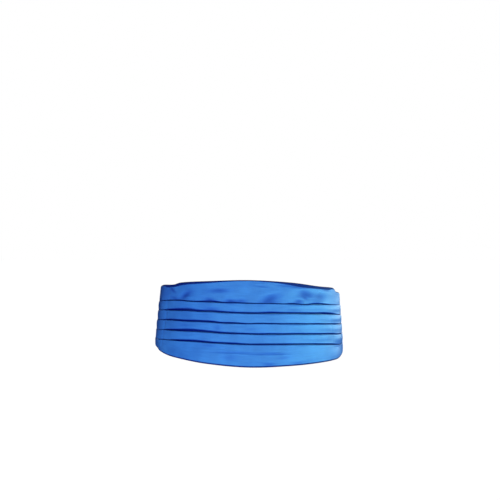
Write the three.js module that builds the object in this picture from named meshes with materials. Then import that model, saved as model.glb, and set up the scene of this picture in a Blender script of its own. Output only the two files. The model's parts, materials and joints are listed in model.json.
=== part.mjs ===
// A worn cummerbund: a pleated satin front that wraps most of the waist, two plain straps and a clasp
// that close the loop at the back. Millimetres, +Z up, the front towards -Y, and the origin on the
// waist's own axis at the middle of the pleats.
//
// Every point is placed by three numbers: along, the way round the waist from the centre front; out,
// the distance from the waist's surface; and up, the height. Pieces that lie on each other therefore
// stay clear of each other whatever the waist's form is.

import * as THREE from "three";
import { mergeVertices } from "three/addons/utils/BufferGeometryUtils.js";

// The waist that the cummerbund closes round.
const WAIST_WIDTH = 280;
const WAIST_DEPTH = 206;
const WAIST_SQUARENESS = 2.3; // 2 is a plain ellipse, and more is flatter in front with tighter sides

// The pleated front, with its heights at the centre front.
const UPPER_BAND = 34.2; // plain cloth from the top edge to the first fold
const PLEAT_PITCH = 15.5; // from one fold to the next
const NARROW_PLEATS = 4;
const LOWER_BAND = 35.3; // plain cloth from the last fold to the bottom edge
const BACK_SPAN = 178; // across the back between the two ends of the pleated front

// Cloth thicknesses.
const PANEL_WALL = 1.6; // the ground cloth that the folds lie on
const PLEAT_WALL = 1.2; // a pleat where it tucks in behind the next one
const FOLD_WALL = 2.1; // a pleat at its rolled top edge
const UPPER_PUFF = 1.8; // how far the upper band swells past its tucked lower edge
const LOWER_LIP = 1.8; // the lower band's edge, turned in under the ground cloth
const END_HEM = 7; // the ground cloth turned over the pleats' ends
const TUCK = 0.27; // the share of a pleat's pitch that runs on behind the next fold

// The straps and the clasp.
const STRAP_WIDTH = 38;
const STRAP_WALL = 1.5;
const STRAP_OVERLAP = 22; // where a strap lies inside the end of the front
const LOOP_RETURN = 24; // the strap's end past the clasp's bar, sewn back on to the strap
const LOOP_LEAN = 1.6; // how far that end runs on for each millimetre that it rises back to the strap
const CLASP_WALL = 2.2;
const CLASP_BAR = 4;
const CLASP_PLATE = 15; // the solid middle of the clasp
const CLASP_RAIL = 3.6; // the clasp above and below the straps
const CLASP_CORNER = 3;

const SLOT_PLAY = 1.6; // spare room for a strap in its slot
const GAP = 0.3; // between pieces that touch
const STATION = 10.4; // the longest step between sections
const TURN_STEPS = 6; // round the clasp's bar

// The front's form round the waist, a row for each section. at is the share of the way from the centre
// front to an end, with minus on the left seen from the front. lift raises the whole section, as a share
// of the front's height. upper, pitch and lower are shares of the three heights above. flare is how much
// the wall leans out for each millimetre down.
const SECTIONS = [
  { at: -1.0, lift: 0.0, upper: 0.36, pitch: 0.5, lower: 0.36, flare: 0.04 },
  { at: -0.78, lift: 0.014, upper: 0.49, pitch: 0.76, lower: 0.36, flare: 0.08 },
  { at: -0.62, lift: 0.021, upper: 0.62, pitch: 0.93, lower: 0.38, flare: 0.11 },
  { at: -0.52, lift: 0.024, upper: 0.65, pitch: 0.98, lower: 0.44, flare: 0.11 },
  { at: -0.425, lift: 0.03, upper: 0.65, pitch: 0.98, lower: 0.66, flare: 0.1 },
  { at: -0.37, lift: 0.031, upper: 0.76, pitch: 0.975, lower: 0.76, flare: 0.09 },
  { at: -0.21, lift: 0.019, upper: 0.885, pitch: 0.98, lower: 0.94, flare: 0.07 },
  { at: 0.0, lift: 0.0, upper: 1.0, pitch: 1.0, lower: 1.0, flare: 0.06 },
  { at: 0.21, lift: -0.007, upper: 0.88, pitch: 0.99, lower: 0.925, flare: 0.06 },
  { at: 0.37, lift: -0.0165, upper: 0.74, pitch: 0.985, lower: 0.775, flare: 0.065 },
  { at: 0.475, lift: -0.026, upper: 0.68, pitch: 0.985, lower: 0.635, flare: 0.07 },
  { at: 0.525, lift: -0.032, upper: 0.55, pitch: 0.985, lower: 0.54, flare: 0.07 },
  { at: 0.62, lift: -0.027, upper: 0.5, pitch: 0.93, lower: 0.46, flare: 0.07 },
  { at: 0.78, lift: -0.014, upper: 0.43, pitch: 0.76, lower: 0.4, flare: 0.06 },
  { at: 1.0, lift: 0.0, upper: 0.36, pitch: 0.5, lower: 0.36, flare: 0.04 },
];

// Soft dents in the upper band. at is as above, and rise is the share of the band's height over the
// first fold. long is a share of the way from the centre front to an end, tall a share of the band's
// height, turn the slope in degrees, and deep a share of the band's swell.
const DENTS = [
  { at: -0.335, rise: 0.3, long: 0.036, tall: 0.24, turn: 32, deep: 0.9 },
  { at: -0.155, rise: 0.52, long: 0.055, tall: 0.17, turn: 4, deep: 0.6 },
  { at: 0.1, rise: 0.24, long: 0.052, tall: 0.26, turn: 30, deep: 0.95 },
  { at: 0.285, rise: 0.5, long: 0.05, tall: 0.2, turn: -34, deep: 0.8 },
  { at: 0.195, rise: 0.86, long: 0.05, tall: 0.16, turn: -8, deep: 0.6 },
];

const BLUE_SATIN = { color: 0x2f74cf, roughness: 0.42, metalness: 0 };
const BLUE_RIBBON = { color: 0x2a66bd, roughness: 0.55, metalness: 0 };
const NICKEL = { color: 0xb9bcc2, roughness: 0.3, metalness: 1 };

const FRONT_HEIGHT = UPPER_BAND + NARROW_PLEATS * PLEAT_PITCH + LOWER_BAND;
const FOLDS = NARROW_PLEATS + 1;

// The waist's outline is a superellipse, walked in small steps so that it can be read by length along it.
const OUTLINE_STEPS = 1440;

function outlinePoint(turn) {
  const side = Math.sin(turn);
  const front = Math.cos(turn);
  const power = 2 / WAIST_SQUARENESS;
  const x = (WAIST_WIDTH / 2) * Math.sign(side) * Math.abs(side) ** power;
  const y = (-WAIST_DEPTH / 2) * Math.sign(front) * Math.abs(front) ** power;
  return new THREE.Vector2(x, y);
}

function walkOutline() {
  const points = [];
  const lengths = [];
  let length = 0;
  for (let i = 0; i <= OUTLINE_STEPS; i += 1) {
    points.push(outlinePoint((2 * Math.PI * i) / OUTLINE_STEPS));
    if (i > 0) length += points[i].distanceTo(points[i - 1]);
    lengths.push(length);
  }
  return { points, lengths, length };
}

const outline = walkOutline();
const HALF_WAIST = outline.length / 2; // from the centre front to the centre back
const HALF_FRONT = HALF_WAIST - BACK_SPAN / 2; // from the centre front to an end of the pleats

// The outline's point and outward direction at a length from the centre front, in either direction.
function waistAt(along) {
  const length = ((along % outline.length) + outline.length) % outline.length;
  let low = 0;
  let high = OUTLINE_STEPS;
  while (high - low > 1) {
    const middle = (low + high) >> 1;
    if (outline.lengths[middle] <= length) low = middle;
    else high = middle;
  }
  const share = (length - outline.lengths[low]) / (outline.lengths[high] - outline.lengths[low]);
  const point = outline.points[low].clone().lerp(outline.points[high], share);
  const power = WAIST_SQUARENESS - 1;
  const slope = (value, half) => (Math.sign(value) * Math.abs(value / half) ** power) / half;
  const outward = new THREE.Vector2(slope(point.x, WAIST_WIDTH / 2), slope(point.y, WAIST_DEPTH / 2));
  return { point, outward: outward.normalize() };
}

// A smooth curve through one column of a table, read at a share of the way to the front's end.
function column(table, name, at) {
  const last = table.length - 1;
  const clamped = Math.min(Math.max(at, table[0].at), table[last].at);
  let i = 0;
  while (i < last - 1 && table[i + 1].at < clamped) i += 1;
  const slopeAt = (k) => {
    if (k === 0 || k === last) return 0;
    return (table[k + 1][name] - table[k - 1][name]) / (table[k + 1].at - table[k - 1].at);
  };
  const span = table[i + 1].at - table[i].at;
  const t = (clamped - table[i].at) / span;
  return (
    (2 * t ** 3 - 3 * t ** 2 + 1) * table[i][name] +
    (t ** 3 - 2 * t ** 2 + t) * span * slopeAt(i) +
    (3 * t ** 2 - 2 * t ** 3) * table[i + 1][name] +
    (t ** 3 - t ** 2) * span * slopeAt(i + 1)
  );
}

// The heights of one section: its top edge, its folds from the top down, its bottom edge and its pitch.
function sectionAt(along) {
  const read = (name) => column(SECTIONS, name, along / HALF_FRONT);
  const pitch = PLEAT_PITCH * read("pitch");
  const middle = FRONT_HEIGHT * read("lift");
  const folds = [];
  for (let k = 0; k < FOLDS; k += 1) folds.push(middle + pitch * (NARROW_PLEATS / 2 - k));
  const top = folds[0] + UPPER_BAND * read("upper");
  const bottom = folds[FOLDS - 1] - LOWER_BAND * read("lower");
  return { top, folds, bottom, pitch };
}

// The place in the part's frame of a point given by along, out and up.
function onWaist(along, out, up) {
  const { point, outward } = waistAt(along);
  const reach = out - column(SECTIONS, "flare", along / HALF_FRONT) * up;
  return new THREE.Vector3(point.x + outward.x * reach, point.y + outward.y * reach, up);
}

// Layers counted out from the waist.
const PLEAT_IN = PANEL_WALL + GAP; // a tucked pleat lies on the ground cloth
const PLEAT_OUT = PLEAT_IN + PLEAT_WALL;
const FOLD_IN = PLEAT_OUT + GAP; // a fold lies over the tucked pleat above it
const FOLD_OUT = FOLD_IN + FOLD_WALL;

// How deep the dents are in the upper band, as a share of its swell.
function dentAt(along, rise, height) {
  let depth = 0;
  for (const dent of DENTS) {
    const turn = THREE.MathUtils.degToRad(dent.turn);
    const across = along - dent.at * HALF_FRONT;
    const above = (rise - dent.rise) * height;
    const onward = across * Math.cos(turn) + above * Math.sin(turn);
    const aside = above * Math.cos(turn) - across * Math.sin(turn);
    const far = (onward / (dent.long * HALF_FRONT)) ** 2 + (aside / (dent.tall * UPPER_BAND)) ** 2;
    depth += dent.deep * Math.exp(-far);
  }
  return Math.min(depth, 1);
}

// The upper band's face from its tucked lower edge to its rolled top edge: rise and swell are shares,
// and hem is the share of the whole stack's thickness where the ground cloth is turned over the pleats.
const UPPER_FACE = [
  { rise: 0.0, swell: 0.0, hem: 1.0 },
  { rise: 0.1, swell: 0.62, hem: 1.0 },
  { rise: 0.24, swell: 0.92, hem: 1.0 },
  { rise: 0.42, swell: 1.0, hem: 1.0 },
  { rise: 0.6, swell: 1.0, hem: 1.0 },
  { rise: 0.77, swell: 0.9, hem: 1.0 },
  { rise: 0.9, swell: 0.66, hem: 0.93 },
  { rise: 0.97, swell: 0.2, hem: 0.75 },
];

// One section of the ground cloth, as points of out and up. hemmed is true where it is turned over the
// pleats.
function panelRing(along, hemmed) {
  const { top, folds, bottom, pitch } = sectionAt(along);
  const height = top - folds[0];
  const tuckEnd = folds[0] - TUCK * pitch;
  const lowest = hemmed ? bottom : bottom + LOWER_LIP + GAP;
  const ground = hemmed ? FOLD_OUT : PANEL_WALL;
  const tucked = hemmed ? FOLD_OUT : PLEAT_OUT;
  const ring = [
    [0, lowest],
    [0, top - PANEL_WALL],
    [PANEL_WALL / 2, top],
    [PLEAT_OUT, top],
  ];
  for (const { rise, swell, hem } of [...UPPER_FACE].reverse()) {
    const swollen = PLEAT_OUT + UPPER_PUFF * swell * (1 - dentAt(along, rise, height));
    ring.push([hemmed ? FOLD_OUT * hem : swollen, folds[0] + rise * height]);
  }
  ring.push([tucked, tuckEnd], [ground, tuckEnd - GAP], [ground, lowest]);
  return ring;
}

// The rolled top of a fold and its way down behind, which every pleat has.
function foldTop(fold, pitch) {
  const underside = fold - TUCK * pitch - GAP;
  return [
    [FOLD_OUT, fold - FOLD_WALL],
    [FOLD_OUT - FOLD_WALL / 5, fold - FOLD_WALL / 4],
    [(FOLD_IN + FOLD_OUT) / 2, fold],
    [FOLD_IN, fold - FOLD_WALL / 3],
    [FOLD_IN, underside],
    [PLEAT_IN, underside - PLEAT_WALL],
  ];
}

// One section of a narrow pleat: tucked in behind the next fold, then out to its own fold.
function pleatRing(along, k) {
  const { folds, pitch } = sectionAt(along);
  const next = folds[k + 1];
  const tuckEnd = next - TUCK * pitch;
  return [
    [PLEAT_IN, tuckEnd],
    [PLEAT_OUT, tuckEnd],
    [PLEAT_OUT, next],
    [PLEAT_OUT + 0.7 * FOLD_WALL, next + 0.16 * pitch],
    [FOLD_OUT - 0.1 * FOLD_WALL, next + 0.5 * pitch],
    ...foldTop(folds[k], pitch),
  ];
}

// One section of the lower band: its edge is turned in under the ground cloth.
function lowerRing(along) {
  const { folds, bottom, pitch } = sectionAt(along);
  const fold = folds[FOLDS - 1];
  const height = fold - bottom;
  return [
    [0, bottom + LOWER_LIP],
    [0, bottom + LOWER_LIP / 3],
    [PANEL_WALL / 2, bottom],
    [FOLD_IN, bottom],
    [FOLD_OUT - FOLD_WALL / 4, bottom + 0.07 * height],
    [FOLD_OUT, bottom + 0.28 * height],
    [FOLD_OUT, bottom + 0.6 * height],
    ...foldTop(fold, pitch),
    [PLEAT_IN, bottom + LOWER_LIP],
  ];
}

// The stations of a loft from one length to another, no further apart than STATION.
function stationsBetween(from, to) {
  const steps = Math.ceil((to - from) / STATION);
  return Array.from({ length: steps + 1 }, (_, i) => from + ((to - from) * i) / steps);
}

// A closed solid through rings of out and up points, one ring to a station, all with as many points.
function loft(stations, ringAt) {
  const rings = stations.map(ringAt);
  const count = rings[0].length;
  const positions = [];
  rings.forEach((ring, i) => {
    for (const [out, up] of ring) positions.push(...onWaist(stations[i], out, up).toArray());
  });
  const faces = [];
  for (let i = 0; i + 1 < rings.length; i += 1) {
    for (let j = 0; j < count; j += 1) {
      const here = i * count + j;
      const beside = i * count + ((j + 1) % count);
      faces.push(here, here + count, beside, beside, here + count, beside + count);
    }
  }
  const cap = (ring, first, flip) => {
    const corners = ring.map(([out, up]) => new THREE.Vector2(out, up));
    const swap = flip !== THREE.ShapeUtils.isClockWise(corners);
    for (const [a, b, c] of THREE.ShapeUtils.triangulateShape(corners, [])) {
      faces.push(first + a, first + (swap ? c : b), first + (swap ? b : c));
    }
  };
  cap(rings[0], 0, false);
  cap(rings[rings.length - 1], (rings.length - 1) * count, true);
  return turnedOut(positions, faces);
}

// An indexed geometry with its faces pointing out, whichever way they were listed.
function turnedOut(positions, faces) {
  const corner = (i) => new THREE.Vector3().fromArray(positions, 3 * i);
  let volume = 0;
  for (let i = 0; i < faces.length; i += 3) {
    volume += corner(faces[i]).dot(corner(faces[i + 1]).cross(corner(faces[i + 2])));
  }
  if (volume < 0) faces.reverse();
  const geometry = new THREE.BufferGeometry();
  geometry.setAttribute("position", new THREE.Float32BufferAttribute(positions, 3));
  geometry.setIndex(faces);
  geometry.computeVertexNormals();
  return geometry;
}

// A flat shape given thickness and laid round the waist: place turns its three numbers into along, out
// and up.
function wrapped(shape, depth, place) {
  const flat = new THREE.ExtrudeGeometry(shape, { depth, bevelEnabled: false, curveSegments: 8 });
  flat.deleteAttribute("normal");
  flat.deleteAttribute("uv");
  const solid = mergeVertices(flat, 1e-4);
  const corners = solid.getAttribute("position");
  const positions = [];
  for (let i = 0; i < corners.count; i += 1) {
    positions.push(...onWaist(...place(corners.getX(i), corners.getY(i), corners.getZ(i))).toArray());
  }
  return turnedOut(positions, Array.from(solid.index.array));
}

// Layers counted in from the waist's surface, where the straps and the clasp lie.
const STRAP_OUT = -GAP;
const STRAP_IN = STRAP_OUT - STRAP_WALL;
const CLASP_OUT = STRAP_IN - GAP;
const CLASP_IN = CLASP_OUT - CLASP_WALL;
const RETURN_OUT = CLASP_IN - GAP;
const RETURN_IN = RETURN_OUT - STRAP_WALL;

// The clasp's lengths from the centre back.
const SLOT_WIDTH = CLASP_WALL / 2 + GAP + STRAP_WALL + SLOT_PLAY;
const SLOT_INNER = CLASP_PLATE / 2;
const SLOT_OUTER = SLOT_INNER + SLOT_WIDTH;
const CLASP_HALF = SLOT_OUTER + CLASP_BAR;
const CLASP_HEIGHT = STRAP_WIDTH + 2 * (GAP + CLASP_RAIL);

// The middle line of a strap seen from above, as lengths from the centre back and distances out from the
// waist. It runs over the clasp's bar, turns round it through the slot, and comes back under itself to
// where it is sewn.
function strapPath() {
  const lying = (STRAP_OUT + STRAP_IN) / 2;
  const turnCentre = (CLASP_IN + CLASP_OUT) / 2;
  const strapStart = BACK_SPAN / 2 + STRAP_OVERLAP;
  const barEdge = CLASP_HALF + GAP;
  const returned = (RETURN_OUT + RETURN_IN) / 2;
  const sewn = lying - STRAP_WALL - GAP;
  const liftEdge = barEdge + LOOP_LEAN * (sewn - returned);
  const over = stationsBetween(SLOT_OUTER, strapStart).reverse();
  const under = stationsBetween(liftEdge, CLASP_HALF + LOOP_RETURN);
  const path = over.map((along) => new THREE.Vector2(along, lying));
  for (let i = 1; i <= TURN_STEPS; i += 1) {
    const angle = (Math.PI * i) / TURN_STEPS;
    const turn = new THREE.Vector2(-Math.sin(angle), Math.cos(angle)).multiplyScalar(lying - turnCentre);
    path.push(turn.add(new THREE.Vector2(SLOT_OUTER, turnCentre)));
  }
  path.push(new THREE.Vector2(barEdge, returned));
  for (const along of under) path.push(new THREE.Vector2(along, sewn));
  return path;
}

// A ribbon of a given wall and width along a middle line, with square ends.
function ribbon(path, wall, width, place) {
  const positions = [];
  path.forEach((point, i) => {
    const ahead = path[Math.min(i + 1, path.length - 1)].clone().sub(point);
    const behind = point.clone().sub(path[Math.max(i - 1, 0)]);
    const along = ahead.normalize().add(behind.normalize()).normalize();
    const bend = Math.max(along.dot(ahead), along.dot(behind));
    const side = new THREE.Vector2(-along.y, along.x).multiplyScalar(wall / 2 / bend);
    const left = point.clone().add(side);
    const right = point.clone().sub(side);
    for (const [corner, up] of [[left, 1], [left, -1], [right, -1], [right, 1]]) {
      positions.push(...onWaist(...place(corner.x, corner.y, (up * width) / 2)).toArray());
    }
  });
  const last = 4 * (path.length - 1);
  const faces = [0, 1, 2, 0, 2, 3, last, last + 2, last + 1, last, last + 3, last + 2];
  for (let first = 0; first < last; first += 4) {
    for (let j = 0; j < 4; j += 1) {
      const here = first + j;
      const beside = first + ((j + 1) % 4);
      faces.push(here, here + 4, beside, beside, here + 4, beside + 4);
    }
  }
  return turnedOut(positions, faces);
}

// A rectangle with round corners, centred on a point, as a Shape or as the Path of a hole.
function roundedRectangle(Kind, centre, width, height, radius) {
  const outlinePath = new Kind();
  const right = centre + width / 2;
  const left = centre - width / 2;
  const top = height / 2;
  outlinePath.moveTo(left + radius, -top);
  outlinePath.lineTo(right - radius, -top);
  outlinePath.absarc(right - radius, -top + radius, radius, -Math.PI / 2, 0, false);
  outlinePath.lineTo(right, top - radius);
  outlinePath.absarc(right - radius, top - radius, radius, 0, Math.PI / 2, false);
  outlinePath.lineTo(left + radius, top);
  outlinePath.absarc(left + radius, top - radius, radius, Math.PI / 2, Math.PI, false);
  outlinePath.lineTo(left, -top + radius);
  outlinePath.absarc(left + radius, -top + radius, radius, Math.PI, 1.5 * Math.PI, false);
  return outlinePath;
}

// The clasp from the front: a plate with a slot near each end.
function claspShape() {
  const shape = roundedRectangle(THREE.Shape, 0, 2 * CLASP_HALF, CLASP_HEIGHT, CLASP_CORNER);
  for (const side of [-1, 1]) {
    const centre = (side * (SLOT_INNER + SLOT_OUTER)) / 2;
    shape.holes.push(roundedRectangle(THREE.Path, centre, SLOT_WIDTH, STRAP_WIDTH + 2 * GAP, GAP));
  }
  return shape;
}

function named(name, geometry, finish) {
  const mesh = new THREE.Mesh(geometry, new THREE.MeshStandardMaterial(finish));
  mesh.name = name;
  return mesh;
}

// The ground cloth: its top shows as the upper band, and each end is hemmed over the pleats' ends.
function makePanel() {
  const hemStart = HALF_FRONT - END_HEM;
  const step = GAP / 2;
  const open = stationsBetween(-hemStart + step, hemStart - step);
  const stations = [-HALF_FRONT, -hemStart, ...open, hemStart, HALF_FRONT];
  return loft(stations, (along) => panelRing(along, Math.abs(along) > hemStart - step / 2));
}

// The pleats stop a gap short of the hems.
const PLEAT_END = HALF_FRONT - END_HEM - 1.5 * GAP;
const pleatStations = stationsBetween(-PLEAT_END, PLEAT_END);

const cummerbund = new THREE.Group();
cummerbund.add(named("panel", makePanel(), BLUE_SATIN));
for (let k = 0; k < NARROW_PLEATS; k += 1) {
  cummerbund.add(named(`pleat_${k + 1}`, loft(pleatStations, (along) => pleatRing(along, k)), BLUE_SATIN));
}
cummerbund.add(named("lower_band", loft(pleatStations, lowerRing), BLUE_SATIN));
for (const [name, side] of [["strap_left", 1], ["strap_right", -1]]) {
  const place = (back, out, up) => [side * (back - HALF_WAIST), out, up];
  cummerbund.add(named(name, ribbon(strapPath(), STRAP_WALL, STRAP_WIDTH, place), BLUE_RIBBON));
}
const claspPlace = (back, up, depth) => [HALF_WAIST + back, CLASP_IN + depth, up];
cummerbund.add(named("clasp", wrapped(claspShape(), CLASP_WALL, claspPlace), NICKEL));

export default cummerbund;
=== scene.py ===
"""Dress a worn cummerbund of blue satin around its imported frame.

Every cloth surface is worked out in three numbers, in millimetres: along, the way round the waist from
the centre front; out, the distance from the waist's surface; and up, the height. Waist.place turns them
into metres in the frame.
"""

from __future__ import annotations

import json
import logging
import math
from dataclasses import dataclass, field
from enum import Enum
from typing import ClassVar

import bpy
import numpy as np
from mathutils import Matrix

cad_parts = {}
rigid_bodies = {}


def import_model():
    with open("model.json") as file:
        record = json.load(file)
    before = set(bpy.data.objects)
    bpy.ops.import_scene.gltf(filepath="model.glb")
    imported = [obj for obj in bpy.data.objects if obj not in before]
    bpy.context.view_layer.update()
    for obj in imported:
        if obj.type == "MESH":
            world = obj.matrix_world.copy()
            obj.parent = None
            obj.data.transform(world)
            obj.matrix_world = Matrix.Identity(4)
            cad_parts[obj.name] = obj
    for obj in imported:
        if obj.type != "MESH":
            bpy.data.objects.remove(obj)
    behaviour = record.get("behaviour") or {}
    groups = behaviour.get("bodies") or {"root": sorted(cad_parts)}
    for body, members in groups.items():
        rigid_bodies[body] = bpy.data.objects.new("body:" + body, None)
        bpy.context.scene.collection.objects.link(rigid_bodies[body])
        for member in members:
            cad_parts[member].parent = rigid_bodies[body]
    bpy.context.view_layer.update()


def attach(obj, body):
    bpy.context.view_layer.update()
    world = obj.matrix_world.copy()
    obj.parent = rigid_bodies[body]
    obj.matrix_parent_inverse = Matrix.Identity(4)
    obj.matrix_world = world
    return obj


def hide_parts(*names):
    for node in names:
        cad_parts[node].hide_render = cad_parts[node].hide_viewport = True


LOG = logging.getLogger("cummerbund")
MM = 0.001
# A Wave texture's own period at a scale of 1, in metres.
WAVE_PERIOD = 0.1 * math.pi
# The turns of a roll over which painted shade fades: in on a fold's far side, and out down the back of the
# top edge's crown.
ROLL_SHADE = (0.5 * math.pi, 0.8 * math.pi)


class Side(Enum):
    """The two ends of the front, as seen from the front."""

    LEFT = -1
    RIGHT = 1


class Slot(Enum):
    """The record's material slots."""

    SATIN = "satin"
    STRAP = "strap"
    CLASP = "clasp"


class Held(Enum):
    """How a sheet of cloth is held."""

    FOLDED = "folded"
    STRETCHED = "stretched"


@dataclass(frozen=True)
class Section:
    """The front's form at one place, as shares of its half length and of its named heights."""

    at: float
    lift: float
    upper: float
    pitch: float
    lower: float
    flare: float


# Each row gives at, lift, upper, pitch, lower and flare, from the left end to the right end.
SECTIONS = (
    Section(-1.0, 0.0, 0.36, 0.5, 0.36, 0.04),
    Section(-0.78, 0.014, 0.49, 0.76, 0.36, 0.08),
    Section(-0.62, 0.021, 0.62, 0.93, 0.38, 0.103),
    Section(-0.52, 0.024, 0.65, 0.98, 0.46, 0.103),
    Section(-0.425, 0.03, 0.65, 0.98, 0.675, 0.1),
    Section(-0.37, 0.031, 0.75, 0.975, 0.77, 0.09),
    Section(-0.21, 0.019, 0.864, 0.98, 0.94, 0.07),
    Section(0.0, 0.0, 0.965, 1.0, 1.0, 0.06),
    Section(0.21, -0.007, 0.891, 0.99, 0.925, 0.06),
    Section(0.37, -0.0165, 0.751, 0.985, 0.79, 0.065),
    Section(0.475, -0.026, 0.715, 0.985, 0.67, 0.07),
    Section(0.49, -0.028, 0.685, 0.985, 0.642, 0.07),
    Section(0.5, -0.0293, 0.615, 0.985, 0.62, 0.07),
    Section(0.51, -0.0305, 0.56, 0.985, 0.595, 0.07),
    Section(0.525, -0.032, 0.545, 0.985, 0.56, 0.07),
    Section(0.62, -0.027, 0.5, 0.93, 0.46, 0.07),
    Section(0.78, -0.014, 0.43, 0.76, 0.4, 0.06),
    Section(1.0, 0.0, 0.36, 0.5, 0.36, 0.04),
)


@dataclass(frozen=True)
class Dent:
    """A soft dent in the satin: its place, half sizes and depth in millimetres, and its slope in degrees.

    shade is how much painted shade darkens its middle, where the satin also loses gloss; a dent with no
    depth is a patch of painted shade only.
    """

    along: float
    up: float
    long: float
    tall: float
    turn: float
    deep: float
    shade: float


# The rows with no depth are patches of painted shade only.
DENTS = (
    # The upper band, from the left.
    Dent(-128, 49.5, 9, 3.2, -30, 0.6, 0.75), Dent(-123, 37.0, 9, 2.8, -8, 0.5, 0.66),
    Dent(-101, 41.5, 12, 4.8, 30, 1.4, 0.95), Dent(-61, 35.0, 9, 3.0, -5, 0.9, 0.62),
    Dent(-46, 49.5, 16, 3.2, 1, 0.6, 0.66), Dent(-29, 33, 8, 3.2, -5, 0.9, 0.85),
    Dent(-13, 33.4, 9, 3.0, 0, 0.6, 0.66), Dent(31, 37, 16, 5.0, 20, 1.5, 0.66),
    Dent(36, 32.5, 16, 3.0, 4, 0.6, 0.34), Dent(20, 56.4, 10, 1.5, -5, 0.5, 0.1),
    Dent(56, 57.3, 14, 1.7, -4, 0.5, 0.34), Dent(77, 55.5, 14, 2.2, -8, 0.6, 0.4),
    Dent(75, 32.4, 7, 3.0, 0, 0.8, 0.62), Dent(87, 37.5, 6, 2.6, -36, 0.6, 0.3),
    Dent(88, 43.5, 12, 5.0, -10, 1.1, 0.6), Dent(113, 39, 13, 5.0, -5, 0.8, 0.44),
    Dent(103, 33, 12, 3.0, 0, 0.5, 0.24), Dent(83, 30.9, 4, 2.0, -30, -0.5, 0.0),
    Dent(125, 49.5, 9, 1.8, -10, 0.4, 0.4), Dent(160, 44, 24, 14.0, 0, 0.0, 0.26),
    Dent(-144, 47, 13, 12.0, 0, 0.0, 0.28),
    # The narrow pleats.
    Dent(-93, 21, 12, 3.4, -6, 0.5, 0.56), Dent(-57, 20.4, 12, 3.2, 0, 0.5, 0.5),
    Dent(-24, 18.6, 6, 2.2, 0, 0.3, 0.32), Dent(38, 19, 12, 2.6, 10, 0.3, 0.1),
    Dent(-66, 8, 10, 26.0, 0, 0.0, 0.15), Dent(-48, -7.3, 6, 6.0, 0, 0.3, 0.36),
    Dent(-101, -4.2, 10, 3.2, -4, 0.4, 0.34), Dent(1, -9.7, 10, 3.0, 0, 0.3, 0.16),
    Dent(62, -24, 14, 2.6, -6, 0.3, 0.06),
    # The lower band.
    Dent(-59, -34.2, 15, 2.6, -2, 0.4, 0.28), Dent(-45, -38.6, 32, 2.2, -3, 0.5, 0.0),
    Dent(-23, -44.2, 36, 1.3, -1.6, 0.7, 0.22), Dent(32, -46.2, 26, 1.3, 0.5, 0.6, 0.18),
    Dent(-29, -52.1, 11, 4.6, 0, 0.4, 0.3), Dent(29, -62.3, 9, 1.8, -3, 0.5, 0.44),
    Dent(72, -60.8, 12, 1.6, 4, 0.4, 0.3), Dent(50, -52, 10, 2.4, 5, 0.3, 0.24),
    Dent(142, -49, 42, 13.0, 0, 0.0, 0.13),
    # Upright creases where the front bends round the waist.
    Dent(-140, 2, 38, 2.0, 84, 0.7, 0.04), Dent(135, -8, 26, 2.0, 96, 0.2, 0.0),
)

# The places along the front that the fold lines' rows are measured at, in millimetres.
PLACES = (
    -160, -145, -130, -112, -94, -76, -58, -40, -22, -4, 14, 32, 50, 68, 86, 104, 120, 134, 147, 160,
)


@dataclass(frozen=True)
class FoldLine:
    """A fold's line at PLACES: how wide its mouth stands open and how far it rises, in millimetres."""

    wide: tuple[float, ...]
    rise: tuple[float, ...]


# The fold lines from the top down.
FOLD_LINES = (
    FoldLine(
        wide=(
            1.4, 1.4, 2.3, 2.6, 2.3, 2.6, 4.5, 2.6, 2.6, 2.0,
            1.5, 1.9, 1.5, 2.8, 2.0, 3.7, 2.8, 1.5, 0.9, 0.9,
        ),
        rise=(
            0.4, 0.3, 0.4, 0.7, 0.3, 0.3, 0.4, 0.1, 0.5, 0.4,
            0.6, 0.8, 0.4, 0.3, -0.3, 0.2, 0.4, 0.4, 0.8, 0.8,
        ),
    ),
    FoldLine(
        wide=(
            1.7, 1.9, 4.1, 5.6, 6.1, 4.7, 4.8, 4.1, 3.5, 3.5,
            3.7, 4.4, 3.6, 3.7, 3.7, 4.5, 4.7, 4.0, 2.9, 1.8,
        ),
        rise=(
            0.9, 0.9, 0.4, 0.4, 0.9, 0.5, 0.9, 0.5, 0.4, 0.5,
            0.6, 1.0, 1.1, 1.1, 1.0, 0.6, 0.7, 0.6, 0.6, 0.5,
        ),
    ),
    FoldLine(
        wide=(
            1.7, 1.8, 3.1, 3.7, 3.9, 4.2, 4.2, 3.0, 3.3, 2.0,
            2.2, 2.2, 2.2, 2.3, 2.2, 2.4, 2.2, 2.1, 2.6, 2.9,
        ),
        rise=(
            0.8, 1.0, 0.6, 0.0, 0.0, 0.3, 0.3, -0.1, 0.2, 0.4,
            1.1, 1.0, 0.7, 0.8, 0.8, 0.9, 0.9, 1.0, 0.9, 0.9,
        ),
    ),
    FoldLine(
        wide=(
            1.1, 1.4, 3.3, 4.7, 6.1, 5.5, 4.8, 4.2, 3.2, 3.0,
            3.3, 3.4, 3.0, 3.2, 3.3, 3.2, 3.1, 3.0, 2.5, 2.4,
        ),
        rise=(
            1.0, 1.0, 0.3, -0.3, 0.0, 0.3, -0.1, -0.5, 0.1, 0.3,
            0.1, 0.3, 0.3, 0.4, 0.3, 0.4, 0.5, 0.7, 0.8, 1.0,
        ),
    ),
    FoldLine(
        wide=(
            1.1, 1.4, 1.7, 3.6, 4.3, 4.5, 4.0, 3.7, 4.0, 3.0,
            3.0, 3.0, 3.2, 3.0, 2.9, 3.1, 3.0, 2.9, 2.2, 2.0,
        ),
        rise=(
            1.4, 1.3, 0.4, -0.3, -0.1, -0.1, -0.6, -0.4, -0.4, -0.1,
            0.1, 0.3, 0.1, 0.2, 0.4, 0.1, 0.0, -0.1, 0.0, 0.2,
        ),
    ),
)


@dataclass(frozen=True)
class EdgeShade:
    """How far down from the top edge the painted shade reaches at one place, in millimetres."""

    along: float
    wide: float
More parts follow.
